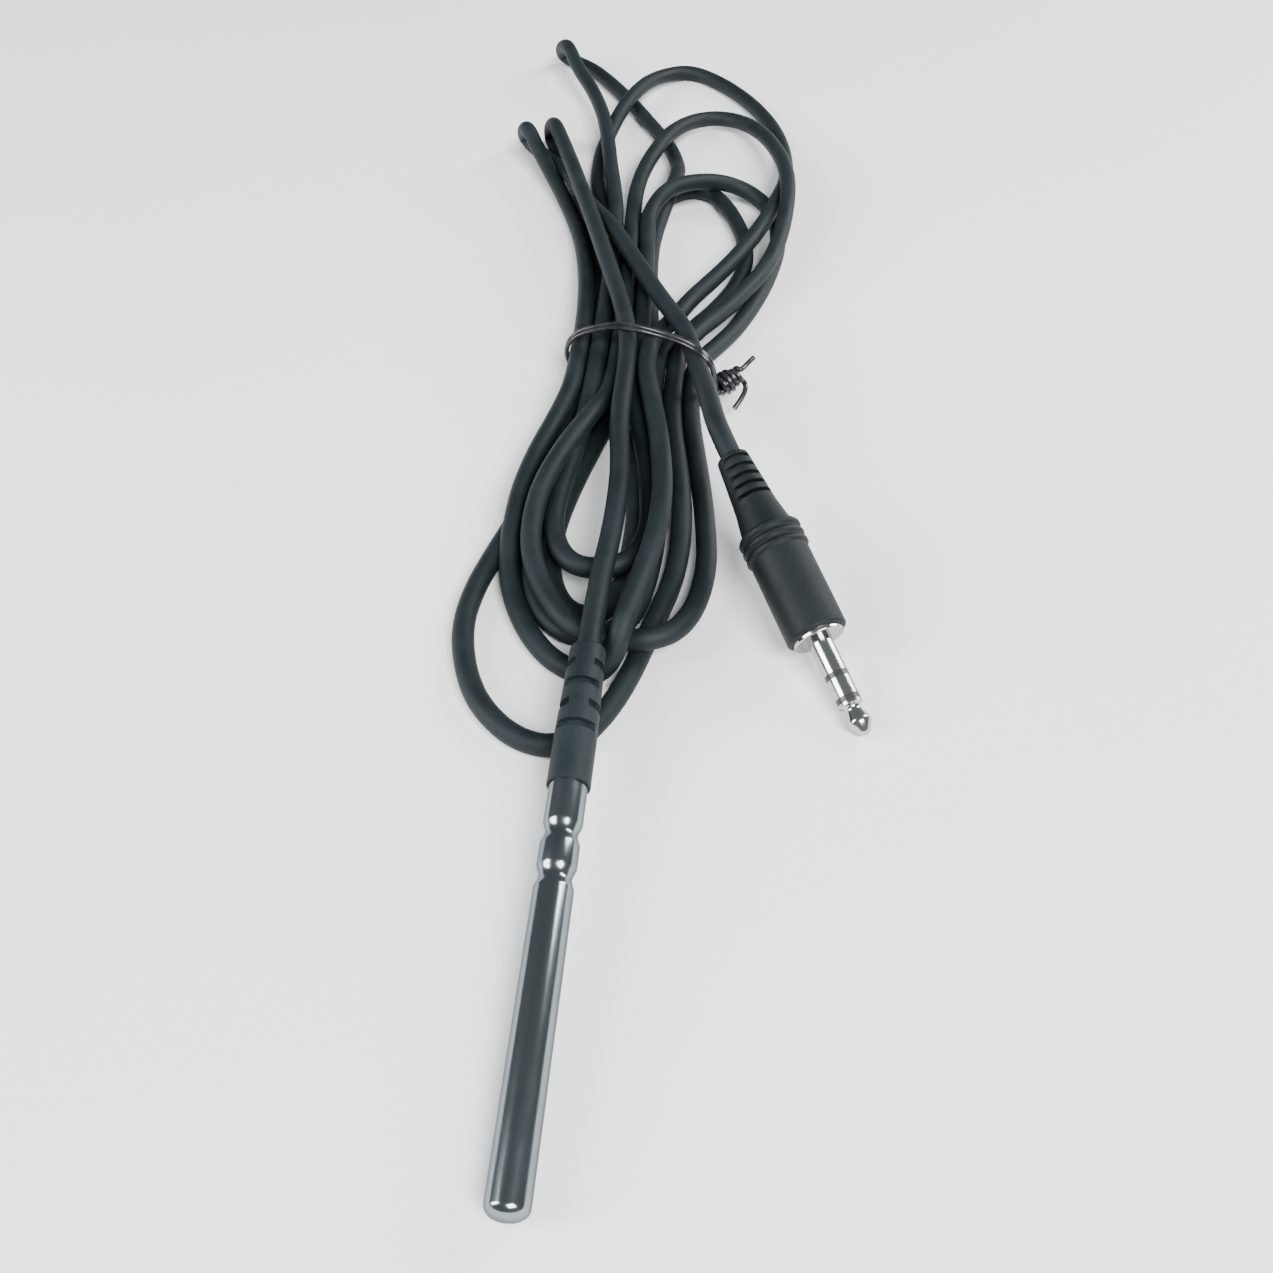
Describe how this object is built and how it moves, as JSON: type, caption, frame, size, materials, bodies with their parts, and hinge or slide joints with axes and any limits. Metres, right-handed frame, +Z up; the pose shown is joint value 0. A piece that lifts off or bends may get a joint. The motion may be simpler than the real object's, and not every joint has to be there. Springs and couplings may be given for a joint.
{
  "type": "soil probe sensor",
  "caption": "Closed steel rod probe with a moulded boot, on a tied hank of round cord that ends in a stereo jack plug; pushed into soil to sense it.",
  "frame": {"origin": "on the surface that the part lies on, under the middle of the probe and its boot, cord and plug left out", "axes": "+Y along the probe from its domed tip towards the cord, +Z up, +X to the side that the jack plug lies on"},
  "size_m": [0.0761, 0.2812, 0.0177],
  "materials": {
    "stainless_steel": "polished, fine drawn lines along the tube",
    "bead_glass": "glossy amber glass",
    "tinned_wire": "tinned, satin",
    "clear_sleeve": "translucent heat-shrink",
    "potting_resin": "cast epoxy",
    "copper": "bare copper strand",
    "core_insulation": "smooth extruded PVC",
    "bush_rubber": "moulded rubber",
    "cord_jacket": "soft matt PVC with a faint grain",
    "boot_pvc": "soft matt moulded PVC",
    "tie_coating": "glossy coated wire",
    "plug_pvc": "satin moulded PVC",
    "inner_plastic": "natural moulded plastic",
    "solder": "smooth solder",
    "nickel_plate": "bright nickel plate",
    "black_insulator": "smooth black plastic"
  },
  "bodies": {
    "root": {"probe_sheath": "stainless_steel", "sensor_bead": "bead_glass", "sensor_legs": "tinned_wire", "leg_sleeves": "clear_sleeve", "potting_compound": "potting_resin", "probe_conductors": "copper", "probe_core_insulation": "core_insulation", "seal_bush": "bush_rubber", "probe_cord_end": "cord_jacket", "probe_boot": "boot_pvc", "cord_lead_probe": "cord_jacket", "cord_hank": "cord_jacket", "twist_tie": "tie_coating", "cord_lead_plug": "cord_jacket", "plug_cover": "plug_pvc", "plug_inner_mould": "inner_plastic", "plug_cord_end": "cord_jacket", "plug_core_insulation": "core_insulation", "plug_conductors": "copper", "plug_solder": "solder", "tip_lug": "nickel_plate", "ring_lug": "nickel_plate", "sleeve_lug": "nickel_plate", "plug_tip_contact": "nickel_plate", "plug_front_insulator": "black_insulator", "plug_ring_contact": "nickel_plate", "plug_rear_insulator": "black_insulator", "plug_sleeve_contact": "nickel_plate"}
  },
  "joints": []
}
